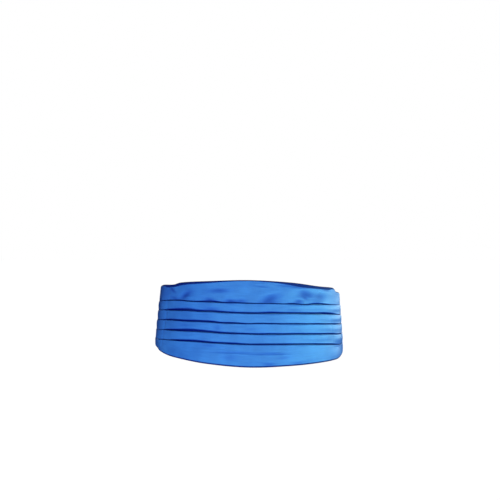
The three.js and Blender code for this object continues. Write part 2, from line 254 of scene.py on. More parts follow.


# Painted shade along the top edge: how far down it reaches at places along the front.
EDGE_SHADES = (
    EdgeShade(-190, 0.4), EdgeShade(-165, 1.8), EdgeShade(-150, 3.0), EdgeShade(-141, 4.4),
    EdgeShade(-129, 4.0), EdgeShade(-119, 5.2), EdgeShade(-106, 4.6), EdgeShade(-90, 3.9),
    EdgeShade(-70, 3.4), EdgeShade(-45, 2.4), EdgeShade(-20, 1.7), EdgeShade(0, 1.4), EdgeShade(30, 2.2),
    EdgeShade(50, 3.2), EdgeShade(70, 5.0), EdgeShade(85, 5.6), EdgeShade(110, 4.4), EdgeShade(135, 4.4),
    EdgeShade(142, 3.0), EdgeShade(165, 1.4), EdgeShade(185, 0.4),
)


@dataclass(frozen=True)
class Bend:
    """A standing bend, where the stiff stack of cloth turns round the waist's side, in millimetres."""

    along: float
    wide: float
    out: float


BENDS = (Bend(along=-153, wide=13, out=1.9), Bend(along=158, wide=16, out=0.8))
# The lower corners curl in at the sides.
CURLS = (Bend(along=-168, wide=26, out=-3.4), Bend(along=170, wide=24, out=-1.8))


def smooth_step(low: float | np.ndarray, high: float | np.ndarray, value: np.ndarray) -> np.ndarray:
    """Rise smoothly from 0 at low to 1 at high, as 3t^2 - 2t^3.

    Args:
        low: where the rise starts.
        high: where it ends.
        value: where it is read.

    Returns:
        The rise at each value.
    """
    share = np.clip((value - low) / (high - low), 0.0, 1.0)
    return share * share * (3.0 - 2.0 * share)


def smooth_curve(knots: np.ndarray, heights: np.ndarray, where: np.ndarray) -> np.ndarray:
    """Read a smooth curve through a short table, by cubic Hermite pieces with level ends.

    Args:
        knots: the table's places, rising.
        heights: the curve's value at each place.
        where: the places to read it at.

    Returns:
        The curve's value at each of them.
    """
    slopes = np.zeros(len(knots))
    slopes[1:-1] = (heights[2:] - heights[:-2]) / (knots[2:] - knots[:-2])
    clamped = np.clip(where, knots[0], knots[-1])
    row = np.clip(np.searchsorted(knots, clamped, side="left") - 1, 0, len(knots) - 2)
    span = knots[row + 1] - knots[row]
    t = (clamped - knots[row]) / span
    return (
        (2 * t**3 - 3 * t**2 + 1) * heights[row]
        + (t**3 - 2 * t**2 + t) * span * slopes[row]
        + (3 * t**2 - 2 * t**3) * heights[row + 1]
        + (t**3 - t**2) * span * slopes[row + 1]
    )


def joined(*blocks: np.ndarray) -> np.ndarray:
    """Set blocks of columns side by side.

    Args:
        *blocks: arrays with a row for each station, or with one row for all of them.

    Returns:
        One array with a row for each station.
    """
    rows = max(len(block) for block in blocks)
    return np.concatenate([np.broadcast_to(block, (rows, block.shape[1])) for block in blocks], axis=1)


def stations(reach: float, apart: float) -> np.ndarray:
    """Lengths from minus reach to reach as a column, no further apart than apart."""
    return np.linspace(-reach, reach, int(2 * reach / apart) + 1)[:, None]


def spread(low: np.ndarray, high: np.ndarray, count: int, last: bool = False) -> np.ndarray:
    """Heights from low to high in even steps, a row for each station, with or without the last one."""
    return low + (high - low) * np.linspace(0.0, 1.0, count, endpoint=last)[None, :]


@dataclass(frozen=True)
class Ripples:
    """Shallow ripples in cloth: a sum of cosines with seeded directions and phases."""

    seed: int
    long: float
    tall: float
    deep: float
    waves: int = 14

    def at(self, along: np.ndarray, up: np.ndarray) -> np.ndarray:
        """Read the ripples' height, in millimetres, at places on the cloth.

        Args:
            along: lengths round the waist.
            up: heights.

        Returns:
            deep times the mean of cos(2 pi (a along / long + b up / tall) + c), scaled to a spread of 1,
            with a, b and c drawn from the seed.
        """
        draw = np.random.default_rng(self.seed)
        total = np.zeros(np.broadcast(along, up).shape)
        for _ in range(self.waves):
            onward = draw.uniform(0.35, 1.3) * draw.choice((-1, 1)) / self.long
            upward = draw.uniform(0.0, 1.2) / self.tall
            total += np.cos(2 * math.pi * (onward * along + upward * up) + draw.uniform(0, 2 * math.pi))
        return self.deep * total * math.sqrt(2 / self.waves)


@dataclass(frozen=True)
class Waist:
    """The body that the sash closes round: a superellipse, in millimetres."""

    width: float = 280.0
    depth: float = 206.0
    squareness: float = 2.3
    steps: int = 14400

    def outline(self) -> tuple[np.ndarray, np.ndarray, np.ndarray]:
        """Walk the outline once round from the centre back.

        Returns:
            x and y of its points, and the length along it from the centre front, minus on the left.
        """
        turn = np.linspace(-math.pi, math.pi, self.steps + 1)
        power = 2 / self.squareness
        x = self.width / 2 * np.sign(np.sin(turn)) * np.abs(np.sin(turn)) ** power
        y = -self.depth / 2 * np.sign(np.cos(turn)) * np.abs(np.cos(turn)) ** power
        length = np.concatenate(([0.0], np.cumsum(np.hypot(np.diff(x), np.diff(y)))))
        return x, y, length - length[-1] / 2

    def half_length(self) -> float:
        """The length from the centre front to the centre back."""
        return float(self.outline()[2][-1])

    def place(self, along: np.ndarray, out: np.ndarray, up: np.ndarray) -> np.ndarray:
        """Turn along, out and up into points of the frame.

        Args:
            along: lengths round the waist from the centre front.
            out: distances from the waist's surface, the flare already in them.
            up: heights.

        Returns:
            Points in metres: the outline's point at that length, moved out along its normal, whose parts
            are sign(x) |x / a|^(p - 1) / a and the same in y.
        """
        along, out, up = np.broadcast_arrays(along, out, up)
        outline_x, outline_y, lengths = self.outline()
        whole = lengths[-1] - lengths[0]
        along = (along - lengths[0]) % whole + lengths[0]
        x = np.interp(along, lengths, outline_x)
        y = np.interp(along, lengths, outline_y)
        power = self.squareness - 1
        side = np.sign(x) * np.abs(2 * x / self.width) ** power / self.width
        front = np.sign(y) * np.abs(2 * y / self.depth) ** power / self.depth
        scale = out / np.hypot(side, front)
        return np.stack((x + side * scale, y + front * scale, up), axis=-1) * MM


@dataclass(frozen=True)
class Mouth:
    """The open mouth over a fold, out of which the next cloth up swings, as columns of millimetres."""

    fold: np.ndarray
    wide: np.ndarray
    tuck_end: np.ndarray
    lead: float = 0.12
    clearance: float = 1.4
    # The shares of the mouth's width over which its painted shade fades out.
    painted_shade_span: tuple[float, float] = (0.45, 1.05)

    @property
    def clear(self) -> np.ndarray:
        """The height just past the mouth."""
        return self.fold + self.clearance * self.wide

    def rows(self) -> np.ndarray:
        """Heights from the tucked end, past the fold, to just under clear."""
        return joined(spread(self.tuck_end, self.fold, 4), spread(self.fold, self.clear, 14))

    def swing(self, up: np.ndarray) -> np.ndarray:
        """How far the cloth has swung out at each height, from 0 to 1."""
        return smooth_step(self.fold + self.lead * self.wide, self.fold + self.wide, up)

    def pocket(self, up: np.ndarray) -> np.ndarray:
        """The painted shade in the mouth over the fold at each height, from 1 deep inside it to 0."""
        low, high = (self.fold + share * self.wide for share in self.painted_shade_span)
        return 1 - smooth_step(low, high, up)


@dataclass(frozen=True)
class Front:
    """The pleated front: its heights, folds and layers, in millimetres."""

    waist: Waist = field(default_factory=Waist)
    upper_band: float = 34.2
    pitch: float = 15.5
    narrow_pleats: int = 4
    lower_band: float = 35.3
    back_span: float = 178.0
    end_hem: float = 7.0
    panel_wall: float = 1.6
    pleat_in: float = 1.9
    deep: float = 2.5
    face_out: float = 5.5
    roll: float = 0.85
    tuck: float = 0.3
    settle: float = 1.8
    top_over: float = 1.3
    bottom_over: float = 0.7
    pressed: float = 0.62
    press_reach: float = 55.0
    # The painted shade at the left bend, where the front turns away from the lights: its middle, half width
    # and strength, the share of it left at the bottom, and the heights over which it tapers.
    bend_place: float = -172.0
    bend_wide: float = 15.0
    bend_shade: float = 1.05
    bend_low: float = 0.45
    bend_heights: tuple[float, float] = (-60.0, 40.0)
    curl_heights: tuple[float, float] = (-24.0, -46.0)
    groove_near: tuple[float, float] = (132.0, 160.0)
    groove_step: float = 1.0
    hem_inside: float = 0.4
    under: float = 0.3
    landing: float = 1.2
    # The share of the mask in the dents and at the left bend that darkens the colour as painted shade.
    painted_shade_share: float = 0.8
    relief_edge: float = 0.4
    relief_whole: float = 3.0
    ripples: Ripples = Ripples(seed=5, long=52, tall=15, deep=0.1)

    @property
    def half_length(self) -> float:
        """The length from the centre front to an end."""
        return self.waist.half_length() - self.back_span / 2

    @property
    def pleat_reach(self) -> float:
        """The length from the centre front to a pleat's end, inside the hem."""
        return self.half_length - self.end_hem - self.hem_inside

    @property
    def height(self) -> float:
        """The height at the centre front."""
        return self.upper_band + self.narrow_pleats * self.pitch + self.lower_band

    def column(self, name: str, along: np.ndarray) -> np.ndarray:
        """Read one column of the sections' table smoothly.

        Args:
            name: the column's name.
            along: lengths round the waist.

        Returns:
            The column's value at each length.
        """
        knots = np.array([row.at for row in SECTIONS])
        values = np.array([getattr(row, name) for row in SECTIONS])
        return smooth_curve(knots, values, along / self.half_length)

    def local_pitch(self, along: np.ndarray) -> np.ndarray:
        """The height from fold to fold at each length."""
        return self.pitch * self.column("pitch", along)

    def level(self, number: int, along: np.ndarray) -> np.ndarray:
        """The height a fold is pinned at: lift times the height, plus the pitches from the middle fold."""
        steps = self.narrow_pleats / 2 - number
        return self.height * self.column("lift", along) + self.local_pitch(along) * steps

    def fold(self, number: int, along: np.ndarray) -> np.ndarray:
        """The height of a fold's top: its level, less the settling of the worn cloth, plus its own rise."""
        rise = smooth_curve(np.array(PLACES, dtype=float), np.array(FOLD_LINES[number].rise), along)
        return self.level(number, along) - self.settle + rise

    def mouth(self, number: int, along: np.ndarray) -> Mouth:
        """The mouth over a fold, as wide at each length as its row says."""
        wide = smooth_curve(np.array(PLACES, dtype=float), np.array(FOLD_LINES[number].wide), along)
        fold = self.fold(number, along)
        return Mouth(fold, wide, fold - self.tuck * self.local_pitch(along))

    def top(self, along: np.ndarray) -> np.ndarray:
        """The height of the top edge."""
        return self.level(0, along) + self.top_over + self.upper_band * self.column("upper", along)

    def bottom(self, along: np.ndarray) -> np.ndarray:
        """The height of the bottom edge."""
        pinned = self.level(self.narrow_pleats, along)
        return pinned - self.bottom_over - self.lower_band * self.column("lower", along)

    def edge_shade(self, along: np.ndarray) -> np.ndarray:
        """How far down from the top edge the painted shade reaches at each length, smoothly from its rows.
        """
        knots = np.array([shade.along for shade in EDGE_SHADES], dtype=float)
        return smooth_curve(knots, np.array([shade.wide for shade in EDGE_SHADES]), along)

    def groove(self, along: np.ndarray) -> np.ndarray:
        """How far out the bottom of the groove over a fold lies: deep, and shallower at the sides."""
        near = smooth_step(*self.groove_near, np.abs(along))
        return self.deep + (self.face_out - self.groove_step - self.deep) * near

    def swung(self, along: np.ndarray, shoulder: float, swing: np.ndarray) -> np.ndarray:
        """How far out cloth lies that swings from the groove over a fold to its shoulder."""
        groove = self.groove(along)
        return groove + (shoulder - groove) * swing

    def rolled_fold(self, along: np.ndarray, fold: np.ndarray) -> tuple[np.ndarray, np.ndarray, np.ndarray]:
        """Carry a pleat's skin over its fold and down the pocket behind it.

        Args:
            along: a column of lengths.
            fold: the height of the fold's top at each.

        Returns:
            out, up and the painted shade, which comes in on the roll's far side and is full down the
            pocket: half a circle with the roll's radius, a straight run down to just under the tuck, and a
                last point in on the ground cloth.
        """
        angle = np.linspace(0, math.pi, 11)[None, 1:]
        underside = fold - self.tuck * self.local_pitch(along) - self.under
        run = spread(fold - self.roll, underside, 5, last=True)[:, 1:]
        centre = self.face_out - self.roll
        out = joined(
            centre + self.roll * np.cos(angle),
            np.full_like(run, centre - self.roll),
            np.full_like(fold, self.pleat_in),
        )
        up = joined(fold - self.roll + self.roll * np.sin(angle), run, underside - self.landing)
        # Painted shade comes in round the roll's far side and is full down the pocket behind it.
        pocket = joined(smooth_step(*ROLL_SHADE, angle), np.ones_like(run), np.ones_like(fold))
        return out, up, pocket

    def press(self, along: np.ndarray) -> np.ndarray:
        """The stack's thickness as a share: whole in the middle, pressed by the stitching at the ends."""
        end = self.half_length - self.end_hem
        return 1 - (1 - self.pressed) * smooth_step(end - self.press_reach, end, np.abs(along))

    def bend(self, row: tuple[Bend, ...], along: np.ndarray) -> np.ndarray:
        """How far the stack stands out at its bends: each one's out times exp(-(a / wide)^2)."""
        return sum(bend.out * np.exp(-(((along - bend.along) / bend.wide) ** 2)) for bend in row)

    def dent_share(self, dent: Dent, along: np.ndarray, up: np.ndarray) -> np.ndarray:
        """How deep in a dent each place lies, from 0 to 1.

        Args:
            dent: the dent.
            along: lengths round the waist.
            up: heights.

        Returns:
            exp(-(a / long)^2 - (b / tall)^2), with a and b the distances along and across the dent's slope.
        """
        turn = math.radians(dent.turn)
        across = along - dent.along
        above = up - dent.up
        onward = across * math.cos(turn) + above * math.sin(turn)
        aside = above * math.cos(turn) - across * math.sin(turn)
        return np.exp(-((onward / dent.long) ** 2) - (aside / dent.tall) ** 2)

    def relief(self, along: np.ndarray, up: np.ndarray) -> np.ndarray:
        """The satin's ripples less its dents, as a distance out in millimetres."""
        dents = sum(dent.deep * self.dent_share(dent, along, up) for dent in DENTS)
        return self.ripples.at(along, up) - dents

    def relief_under(self, fold: np.ndarray, along: np.ndarray, up: np.ndarray) -> np.ndarray:
        """The relief of cloth that ends in a rolled fold, fading out towards it."""
        return self.relief(along, up) * smooth_step(fold - self.relief_edge, fold - self.relief_whole, up)

    def painted_shade_and_dullness(self, along: np.ndarray, up: np.ndarray) -> np.ndarray:
        """How much painted shade and lost gloss there is in the dents and at the left bend, from 0 to 1."""
        dents = sum(dent.shade * self.dent_share(dent, along, up) for dent in DENTS)
        taper = self.bend_low + (1 - self.bend_low) * smooth_step(*self.bend_heights, up)
        bend = self.bend_shade * taper * np.exp(-(((along - self.bend_place) / self.bend_wide) ** 2))
        return np.clip(dents + bend, 0.0, 1.0)

    def shade(self, along: np.ndarray, up: np.ndarray) -> np.ndarray:
        """The painted shade in the dents and at the left bend: how far the colour is darkened towards deep
        blue.
        """
        return self.painted_shade_share * self.painted_shade_and_dullness(along, up)

    def place(self, along: np.ndarray, out: np.ndarray, up: np.ndarray) -> np.ndarray:
        """Turn along, out and up into points in metres, with the wall's flare, bends and pressed ends."""
        lean = self.column("flare", along) * up
        thin = np.where(out > 0, self.press(along), 1.0)
        curl = self.bend(CURLS, along) * smooth_step(*self.curl_heights, up)
        return self.waist.place(along, out * thin - lean + self.bend(BENDS, along) + curl, up)


@dataclass
class ClosedStrip:
    """A closed skin made of rings, one after the other, as arrays of along, out and up.

    Each array has a row for each ring and a column for each point of it. Of the optional arrays, the first
    is the painted shade, how far a point's colour is darkened towards deep blue, 1 inside a fold; dull is
    how much gloss it has lost; and lining is 1 on the plain inner side.
    """

    along: np.ndarray
    out: np.ndarray
    up: np.ndarray
    pocket: np.ndarray | None = None
    dull: np.ndarray | None = None
    lining: np.ndarray | None = None

    def build(self, name: str, points: np.ndarray) -> bpy.types.Object:
        """Make the mesh object.

        Args:
            name: the object's name.
            points: the placed points, rings by columns by 3, in metres.

        Returns:
            The object, with a UV map named cloth in metres of cloth and its attributes.
        """
        rings, columns = points.shape[:2]
        ring = np.arange(rings - 1)[:, None]
        column = np.arange(columns)[None, :]
        beside = (column + 1) % columns
        first = ring * columns
        corners = np.stack(
            (first + column, first + beside, first + columns + beside, first + columns + column), axis=-1
        ).reshape(-1, 4)
        flat = points.reshape(-1, 3)
        pull = np.cross(flat[corners[:, 1]], flat[corners[:, 2]])
        pull += np.cross(flat[corners[:, 2]], flat[corners[:, 3]])
        inside_out = float(np.einsum("ij,ij->", flat[corners[:, 0]], pull)) < 0
        step_round = np.linalg.norm(np.diff(points, axis=1, append=points[:, :1]), axis=-1)
        round_length = np.concatenate((np.zeros((rings, 1)), np.cumsum(step_round, axis=1)), axis=1)
        onward = np.broadcast_to(self.along, self.up.shape)[:, :1] * MM
        cloth = np.stack((np.broadcast_to(onward, round_length.shape), round_length), axis=-1)
        uv = np.stack(
            (cloth[:-1, :-1], cloth[:-1, 1:], cloth[1:, 1:], cloth[1:, :-1]), axis=2
        ).reshape(-1, 4, 2)
        ends = np.stack((np.arange(columns)[::-1], (rings - 1) * columns + np.arange(columns)))
        end_uv = np.stack((cloth[0, :-1][::-1], cloth[-1, :-1]))
        if inside_out:
            corners = corners[:, ::-1]
            uv = uv[:, ::-1]
            ends = ends[:, ::-1]
            end_uv = end_uv[:, ::-1]
        mesh = bpy.data.meshes.new(name)
        mesh.vertices.add(len(flat))
        mesh.vertices.foreach_set("co", flat.ravel())
        loops = np.concatenate((corners.ravel(), ends.ravel()))
        mesh.loops.add(len(loops))
        mesh.loops.foreach_set("vertex_index", loops.astype(np.int32))
        starts = np.concatenate((np.arange(len(corners)) * 4, len(corners) * 4 + np.arange(2) * columns))
        mesh.polygons.add(len(starts))
        mesh.polygons.foreach_set("loop_start", starts.astype(np.int32))
        layer = mesh.uv_layers.new(name="cloth")
        layer.data.foreach_set("uv", np.concatenate((uv.ravel(), end_uv.ravel())))
        mesh.update(calc_edges=True)
        mesh.polygons.foreach_set("use_smooth", np.ones(len(starts), dtype=bool))
        for label, values in (("pocket", self.pocket), ("dull", self.dull)):
            attribute = mesh.attributes.new(label, "FLOAT", "POINT")
            whole = np.broadcast_to(0.0 if values is None else values, (rings, columns))
            attribute.data.foreach_set("value", whole.ravel().astype(np.float32))
        mesh.validate()
        return add_object(name, mesh)


def add_object(name: str, data: bpy.types.ID) -> bpy.types.Object:
    """Make an object of some data and link it to the scene."""
    made = bpy.data.objects.new(name, data)
    bpy.context.scene.collection.objects.link(made)
    return made


def linear_colour(hex_code: str) -> tuple[float, float, float, float]:
    """Turn an sRGB hex colour into a linear one.

    Args:
        hex_code: six hex digits.

    Returns:
        Linear red, green, blue and an alpha of 1.
    """
    values = np.array([int(hex_code[i : i + 2], 16) / 255 for i in (0, 2, 4)])
    linear = np.where(values <= 0.04045, values / 12.92, ((values + 0.055) / 1.055) ** 2.4)
    return (*(float(value) for value in linear), 1.0)


def add_node(
    tree: bpy.types.NodeTree, kind: str, sockets: dict | None = None, **settings: object
) -> bpy.types.Node:
    """Add a node with its settings and its inputs.

    Args:
        tree: the node tree.
        kind: the node's type name.
        sockets: each input by name or number, with a value or another node's output.
        **settings: the node's own properties.

    Returns:
        The new node.
    """
    made = tree.nodes.new(kind)
    for name, value in settings.items():
        setattr(made, name, value)
    for socket, value in (sockets or {}).items():
        if isinstance(value, bpy.types.NodeSocket):
            tree.links.new(value, made.inputs[socket])
        else:
            made.inputs[socket].default_value = value
    return made


@dataclass(frozen=True)
class Finish:
    """A finish, made into a material that is named for it."""

    name: ClassVar[str]

    def sockets(self, tree: bpy.types.NodeTree) -> dict:
        """The shader's inputs by name, as values or outputs of the finish's own nodes."""
        raise NotImplementedError

    def material(self) -> bpy.types.Material:
        """Make the material from the finish's inputs.

        Returns:
            The material.
        """
        made = bpy.data.materials.new(self.name)
        made.use_nodes = True
        tree = made.node_tree
        tree.nodes.clear()
        shader = add_node(tree, "ShaderNodeBsdfPrincipled", self.sockets(tree))
        add_node(tree, "ShaderNodeOutputMaterial", {"Surface": shader.outputs[0]})
        return made


@dataclass(frozen=True)
class PolyesterSatin(Finish):
    """Polyester satin, woven with long floats and pressed: smooth, with a soft broad gloss along the weft.

    The floats are about 0.1 mm apart, too fine to show, so the streaks are drawn about 0.9 mm apart.
    """

    name: ClassVar[str] = "polyester_satin"
    face: str = "3275D1"
    shade: str = "2860BC"
    # dent and fold are the colours of painted shade: the colour goes towards dent where the painted shade
    # is light, and towards fold where it is full, inside the folds and along the edges.
    dent: str = "0418B4"
    fold: str = "00046A"
    gloss: str = "86E8F2"
    bloom: str = "7CC4FF"
    roughness: float = 0.4
    dull_rise: float = 0.6
    streak_long: float = 26.0
    streak_apart: float = 0.9
    pucker: float = 5.0
    patch: float = 25.0

    def sockets(self, tree: bpy.types.NodeTree) -> dict:
        """Streaks, patches and puckers, with painted shade darkening the colour towards deep blue and a
        rougher gloss by dull.

        Args:
            tree: the material's node tree.

        Returns:
            The shader's sockets by name, each with its value or its link.
        """
        cloth = add_node(tree, "ShaderNodeUVMap", uv_map="cloth").outputs["UV"]
        place = add_node(tree, "ShaderNodeTexCoord").outputs["Object"]
        pocket = add_node(tree, "ShaderNodeAttribute", attribute_name="pocket").outputs["Fac"]
        dull = add_node(tree, "ShaderNodeAttribute", attribute_name="dull").outputs["Fac"]
        stretch = (1 / (self.streak_long * MM), 1 / (self.streak_apart * MM), 1.0)
        drawn = add_node(tree, "ShaderNodeMapping", {"Vector": cloth, "Scale": stretch}).outputs[0]
        streaks, patches, puckers = (
            add_node(
                tree, "ShaderNodeTexNoise",
                {"Vector": vector, "Scale": scale, "Detail": detail, "Roughness": rough},
            ).outputs["Fac"]
            for vector, scale, detail, rough in (
                (drawn, 1.0, 3.0, 0.6),
                (place, 1 / (self.patch * MM), 3.0, 0.5),
                (place, 1 / (self.pucker * MM), 2.0, 0.5),
            )
        )
        tone = add_node(tree, "ShaderNodeMath", {0: streaks, 1: patches}, operation="MULTIPLY").outputs[0]
        share = add_node(
            tree, "ShaderNodeMapRange", {"Value": tone, "From Min": 0.12, "From Max": 0.4}
        ).outputs["Result"]
        face, shade, dent, fold = (linear_colour(c) for c in (self.face, self.shade, self.dent, self.fold))
        # The painted shade: the colour goes towards dent and then fold as the painted shade attribute
        # rises.
        worn, deep = (
            add_node(tree, "ShaderNodeMix", {0: part, 6: first, 7: second}, data_type="RGBA").outputs[2]
            for part, first, second in ((share, shade, face), (pocket, dent, fold))
        )
        colour = add_node(tree, "ShaderNodeMix", {0: pocket, 6: worn, 7: deep}, data_type="RGBA").outputs[2]
        rough = add_node(
            tree, "ShaderNodeMapRange",
            {"Value": streaks, "To Min": self.roughness - 0.05, "To Max": self.roughness + 0.07},
        ).outputs["Result"]
        for part, weight in ((pocket, -0.12), (dull, self.dull_rise)):
            rough = add_node(
                tree, "ShaderNodeMath", {0: part, 1: weight, 2: rough}, operation="MULTIPLY_ADD"
            ).outputs[0]
        weave = add_node(
            tree, "ShaderNodeBump", {"Strength": 0.12, "Distance": 0.12 * MM, "Height": streaks}
        )
        bump = add_node(
            tree, "ShaderNodeBump",
            {"Strength": 0.16, "Distance": 0.25 * MM, "Height": puckers, "Normal": weave.outputs[0]},
        )
        weft = add_node(tree, "ShaderNodeTangent", direction_type="UV_MAP", uv_map="cloth")
        return {
            "Base Color": colour, "Roughness": rough, "Normal": bump.outputs[0], "Tangent": weft.outputs[0],
            "Anisotropic": 0.45, "IOR": 1.64, "Specular IOR Level": 1.0,
            "Specular Tint": linear_colour(self.gloss), "Sheen Weight": 0.05, "Sheen Roughness": 0.4,
            "Sheen Tint": linear_colour(self.bloom),
        }


@dataclass(frozen=True)
class RibbedCloth(Finish):
    """A cloth with ribs across its UV map: two colours and a height that follow them."""

    face: str
    shade: str
    rib: float
    bands: str
    uneven: tuple[float, float, float]
    strength: float
    deep: float
    roughness: float
    sheen: float
    thread: tuple[float, float, float] | None = None

    def sockets(self, tree: bpy.types.NodeTree) -> dict:
        """Ribs, broken by lengthwise threads where there are some.

        Args:
            tree: the node tree.

        Returns:
            The shader's inputs.
        """
        cloth = add_node(tree, "ShaderNodeUVMap", uv_map="cloth").outputs["UV"]
        height = add_node(
            tree, "ShaderNodeTexWave",
            {"Vector": cloth, "Scale": WAVE_PERIOD / (self.rib * MM), "Distortion": self.uneven[0],
             "Detail": self.uneven[1], "Detail Scale": self.uneven[2]},
            bands_direction=self.bands,
        ).outputs["Fac"]
        if self.thread:
            drawn = add_node(tree, "ShaderNodeMapping", {"Vector": cloth, "Scale": self.thread}).outputs[0]
            threads = add_node(tree, "ShaderNodeTexNoise", {"Vector": drawn, "Scale": 1.0, "Detail": 2.0})
            height = add_node(
                tree, "ShaderNodeMath", {0: height, 1: threads.outputs["Fac"]}, operation="MULTIPLY"
            ).outputs[0]
        bump = add_node(
            tree, "ShaderNodeBump", {
                "Strength": self.strength, "Distance": self.deep * MM, "Height": height
            }
        )
        colour = add_node(
            tree, "ShaderNodeMix",
            {0: height, 6: linear_colour(self.shade), 7: linear_colour(self.face)}, data_type="RGBA",
        ).outputs[2]
        return {
            "Base Color": colour, "Roughness": self.roughness, "Normal": bump.outputs[0],
            "Sheen Weight": self.sheen,
        }


@dataclass(frozen=True)
class SatinReverse(RibbedCloth):
    """The satin's wrong side, where the warp's short floats leave it matt with faint slanted lines.

    The lines are 0.2 mm apart, too fine to show, so they are drawn 2.2 mm apart.
    """

    name: ClassVar[str] = "satin_reverse"
    face: str = "1D56B4"
    shade: str = "164696"
    rib: float = 2.2
    bands: str = "DIAGONAL"
    uneven: tuple[float, float, float] = (0.4, 1.0, 3.0)
    strength: float = 0.35
    deep: float = 0.1
    roughness: float = 0.75
    sheen: float = 0.1


@dataclass(frozen=True)
class WovenRibbon(RibbedCloth):
    """Polyester grosgrain, woven with thick weft ribs across it: a low sheen broken by the ribs.

    The ribs are 1.2 mm apart, too fine to show, so they are drawn 1.8 mm apart.
    """

    name: ClassVar[str] = "woven_ribbon"
    face: str = "2166CC"
    shade: str = "0E3E92"
    rib: float = 1.8
    bands: str = "X"
    uneven: tuple[float, float, float] = (0.3, 2.0, 1.0)
    strength: float = 0.5
    deep: float = 0.15
    roughness: float = 0.6
    sheen: float = 0.15
    thread: tuple[float, float, float] | None = (90.0, 2200.0, 1.0)


@dataclass(frozen=True)
class NickelPlate(Finish):
    """Nickel plate on pressed steel, lightly brushed: a warm grey mirror softened by fine upright lines."""

    name: ClassVar[str] = "nickel_plate"
    face: str = "C9C6BF"
    roughness: float = 0.28
    brush: tuple[float, float, float] = (4000.0, 4000.0, 120.0)

    def sockets(self, tree: bpy.types.NodeTree) -> dict:
        """Brushing drawn on Object coordinates, in the roughness and as a faint relief.

        Args:
            tree: the material's node tree.

        Returns:
            The shader's sockets by name, each with its value or its link.
        """
        place = add_node(tree, "ShaderNodeTexCoord").outputs["Object"]
        drawn = add_node(tree, "ShaderNodeMapping", {"Vector": place, "Scale": self.brush}).outputs[0]
        brushing = add_node(
            tree, "ShaderNodeTexNoise", {"Vector": drawn, "Scale": 1.0, "Detail": 2.0}
        ).outputs["Fac"]
        rough = add_node(
            tree, "ShaderNodeMapRange",
            {"Value": brushing, "To Min": self.roughness - 0.08, "To Max": self.roughness + 0.1},
        )
        bump = add_node(
            tree, "ShaderNodeBump", {"Strength": 0.08, "Distance": 0.05 * MM, "Height": brushing}
        )
        return {
            "Base Color": linear_colour(self.face), "Metallic": 1.0, "Roughness": rough.outputs["Result"],
            "Normal": bump.outputs[0],
        }


@dataclass(frozen=True)
class SpunThread(Finish):
    """Spun polyester sewing thread, twisted from two plies: matt, a little lighter than the satin."""

    name: ClassVar[str] = "spun_thread"
    face: str = "2F74D6"
    shade: str = "1A4FA8"

    def sockets(self, tree: bpy.types.NodeTree) -> dict:
        """The twist as fine bands on Object coordinates.

        Args:
            tree: the material's node tree.

        Returns:
            The shader's sockets by name, each with its value or its link.
        """
        place = add_node(tree, "ShaderNodeTexCoord").outputs["Object"]
        twist = add_node(
            tree, "ShaderNodeTexWave", {"Vector": place, "Scale": 180.0}, bands_direction="DIAGONAL"
        ).outputs["Fac"]
        colour = add_node(
            tree, "ShaderNodeMix",
            {0: twist, 6: linear_colour(self.shade), 7: linear_colour(self.face)}, data_type="RGBA",
        )
        return {"Base Color": colour.outputs[2], "Roughness": 0.7, "Sheen Weight": 0.2}


@dataclass(frozen=True)
class MattPaint(Finish):
    """Matt wall paint, rolled on: an even pale surface with no gloss."""

    name: ClassVar[str] = "matt_paint"
    face: str = "F2F2F2"

    def sockets(self, tree: bpy.types.NodeTree) -> dict:
        """One colour, rough."""
        return {"Base Color": linear_colour(self.face), "Roughness": 0.95}


@dataclass(frozen=True)
class Finishes:
    """Every finish of the sash, made once."""

    satin: bpy.types.Material
    reverse: bpy.types.Material
    ribbon: bpy.types.Material
    nickel: bpy.types.Material
    thread: bpy.types.Material


def finish_piece(piece: bpy.types.Object, slot: Slot, *materials: bpy.types.Material) -> None:
    """Dress a piece and let it ride on the one body.

    Args:
        piece: the object.
        slot: not used.
        *materials: its materials, the first one everywhere unless its faces say otherwise.
    """
    for material in materials:
        piece.data.materials.append(material)
    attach(piece, "root")
    LOG.info("%s: %d faces", piece.name, len(piece.data.polygons))


def make_cloth(
    front: Front, strip: ClosedStrip, name: str, node: str, long: float, *materials: bpy.types.Material
) -> bpy.types.Object:
    """Args:
        front: the front that places it.
        strip: its rings.
        name: its name.
        node: the node that it replaces.
        long: not used.
        *materials: its materials.

    Returns:
        The piece.
    """
    piece = strip.build(name, front.place(strip.along, strip.out, strip.up))
    finish_piece(piece, Slot.SATIN, *materials)
    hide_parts(node)
    return piece


